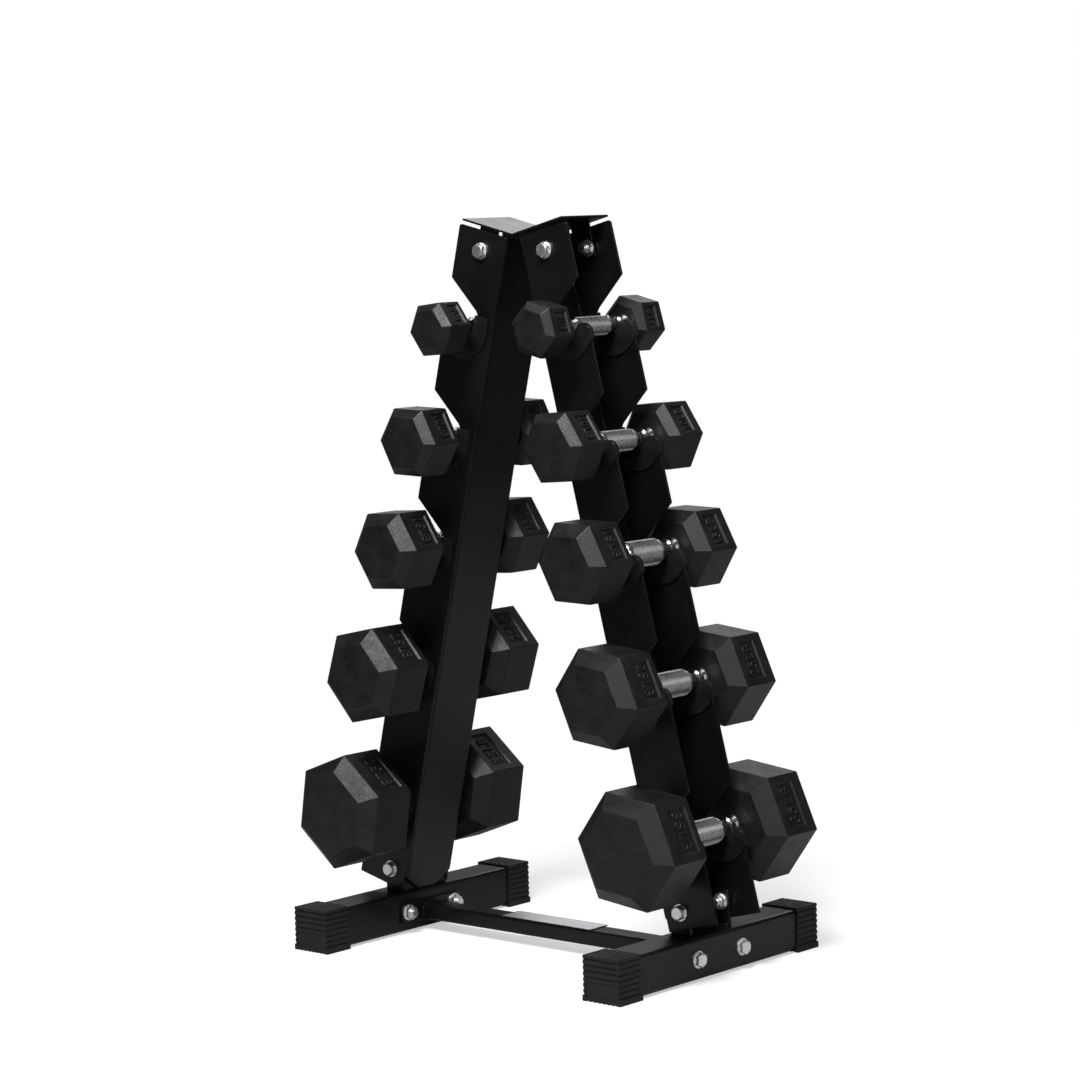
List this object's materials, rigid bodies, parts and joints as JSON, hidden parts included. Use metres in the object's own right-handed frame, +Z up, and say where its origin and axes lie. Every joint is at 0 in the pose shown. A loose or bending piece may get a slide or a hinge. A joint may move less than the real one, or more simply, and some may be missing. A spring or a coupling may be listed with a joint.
{
  "type": "dumbbell rack",
  "caption": "Free-standing A-frame rack of bent steel that carries pairs of hexagonal rubber-coated dumbbells in lined cradles on both sides, on two tube feet.",
  "frame": {"origin": "on the floor, in the rack's middle plane, below the middle of the crossbar", "axes": "+Z up; +X from the left leg to the right leg; +Y from the front end caps to the rear ones, along the handles"},
  "size_m": [0.6162, 0.383, 0.9109],
  "materials": {
    "powder_coat": "satin black powder coat",
    "zinc": "bright zinc",
    "liner_plastic": "black moulded plastic",
    "cap_plastic": "black ribbed plastic",
    "name_plate": "satin silver, blank",
    "head_rubber": "matt, fine grained",
    "core_iron": "as cast",
    "handle_chrome": "polished, knurled barrel"
  },
  "bodies": {
    "frame": {"top_bracket": "powder_coat", "crossbar": "powder_coat", "name_plate": "name_plate", "left_leg": "powder_coat", "left_foot_tube": "powder_coat", "left_leg_bracket": "powder_coat", "left_crossbar_end_plate": "powder_coat", "left_front_cradle_liners": "liner_plastic", "left_front_end_cap": "cap_plastic", "left_rear_cradle_liners": "liner_plastic", "left_rear_end_cap": "cap_plastic", "right_leg": "powder_coat", "right_foot_tube": "powder_coat", "right_leg_bracket": "powder_coat", "right_crossbar_end_plate": "powder_coat", "right_front_cradle_liners": "liner_plastic", "right_front_end_cap": "cap_plastic", "right_rear_cradle_liners": "liner_plastic", "right_rear_end_cap": "cap_plastic", "top_bolts": "zinc", "top_washers": "zinc", "top_nuts": "zinc", "leg_bolts": "zinc", "leg_washers": "zinc", "leg_nuts": "zinc", "crossbar_bolts": "zinc", "crossbar_washers": "zinc", "crossbar_nuts": "zinc"},
    "left_5lb": {"left_5lb_heads": "head_rubber", "left_5lb_cores": "core_iron", "left_5lb_handle": "handle_chrome"},
    "left_10lb": {"left_10lb_heads": "head_rubber", "left_10lb_cores": "core_iron", "left_10lb_handle": "handle_chrome"},
    "left_15lb": {"left_15lb_heads": "head_rubber", "left_15lb_cores": "core_iron", "left_15lb_handle": "handle_chrome"},
    "left_25lb": {"left_25lb_heads": "head_rubber", "left_25lb_cores": "core_iron", "left_25lb_handle": "handle_chrome"},
    "left_35lb": {"left_35lb_heads": "head_rubber", "left_35lb_cores": "core_iron", "left_35lb_handle": "handle_chrome"},
    "right_5lb": {"right_5lb_heads": "head_rubber", "right_5lb_cores": "core_iron", "right_5lb_handle": "handle_chrome"},
    "right_10lb": {"right_10lb_heads": "head_rubber", "right_10lb_cores": "core_iron", "right_10lb_handle": "handle_chrome"},
    "right_15lb": {"right_15lb_heads": "head_rubber", "right_15lb_cores": "core_iron", "right_15lb_handle": "handle_chrome"},
    "right_25lb": {"right_25lb_heads": "head_rubber", "right_25lb_cores": "core_iron", "right_25lb_handle": "handle_chrome"},
    "right_35lb": {"right_35lb_heads": "head_rubber", "right_35lb_cores": "core_iron", "right_35lb_handle": "handle_chrome"}
  },
  "joints": [
    {"name": "left_5lb_lift", "type": "slide", "parent": "frame", "child": "left_5lb", "axis": [-0.515, 0, 0.8572], "range_m": [0, 0.06]},
    {"name": "left_10lb_lift", "type": "slide", "parent": "frame", "child": "left_10lb", "axis": [-0.515, 0, 0.8572], "range_m": [0, 0.06]},
    {"name": "left_15lb_lift", "type": "slide", "parent": "frame", "child": "left_15lb", "axis": [-0.515, 0, 0.8572], "range_m": [0, 0.06]},
    {"name": "left_25lb_lift", "type": "slide", "parent": "frame", "child": "left_25lb", "axis": [-0.515, 0, 0.8572], "range_m": [0, 0.06]},
    {"name": "left_35lb_lift", "type": "slide", "parent": "frame", "child": "left_35lb", "axis": [-0.515, 0, 0.8572], "range_m": [0, 0.06]},
    {"name": "right_5lb_lift", "type": "slide", "parent": "frame", "child": "right_5lb", "axis": [0.515, 0, 0.8572], "range_m": [0, 0.06]},
    {"name": "right_10lb_lift", "type": "slide", "parent": "frame", "child": "right_10lb", "axis": [0.515, 0, 0.8572], "range_m": [0, 0.06]},
    {"name": "right_15lb_lift", "type": "slide", "parent": "frame", "child": "right_15lb", "axis": [0.515, 0, 0.8572], "range_m": [0, 0.06]},
    {"name": "right_25lb_lift", "type": "slide", "parent": "frame", "child": "right_25lb", "axis": [0.515, 0, 0.8572], "range_m": [0, 0.06]},
    {"name": "right_35lb_lift", "type": "slide", "parent": "frame", "child": "right_35lb", "axis": [0.515, 0, 0.8572], "range_m": [0, 0.06]}
  ]
}
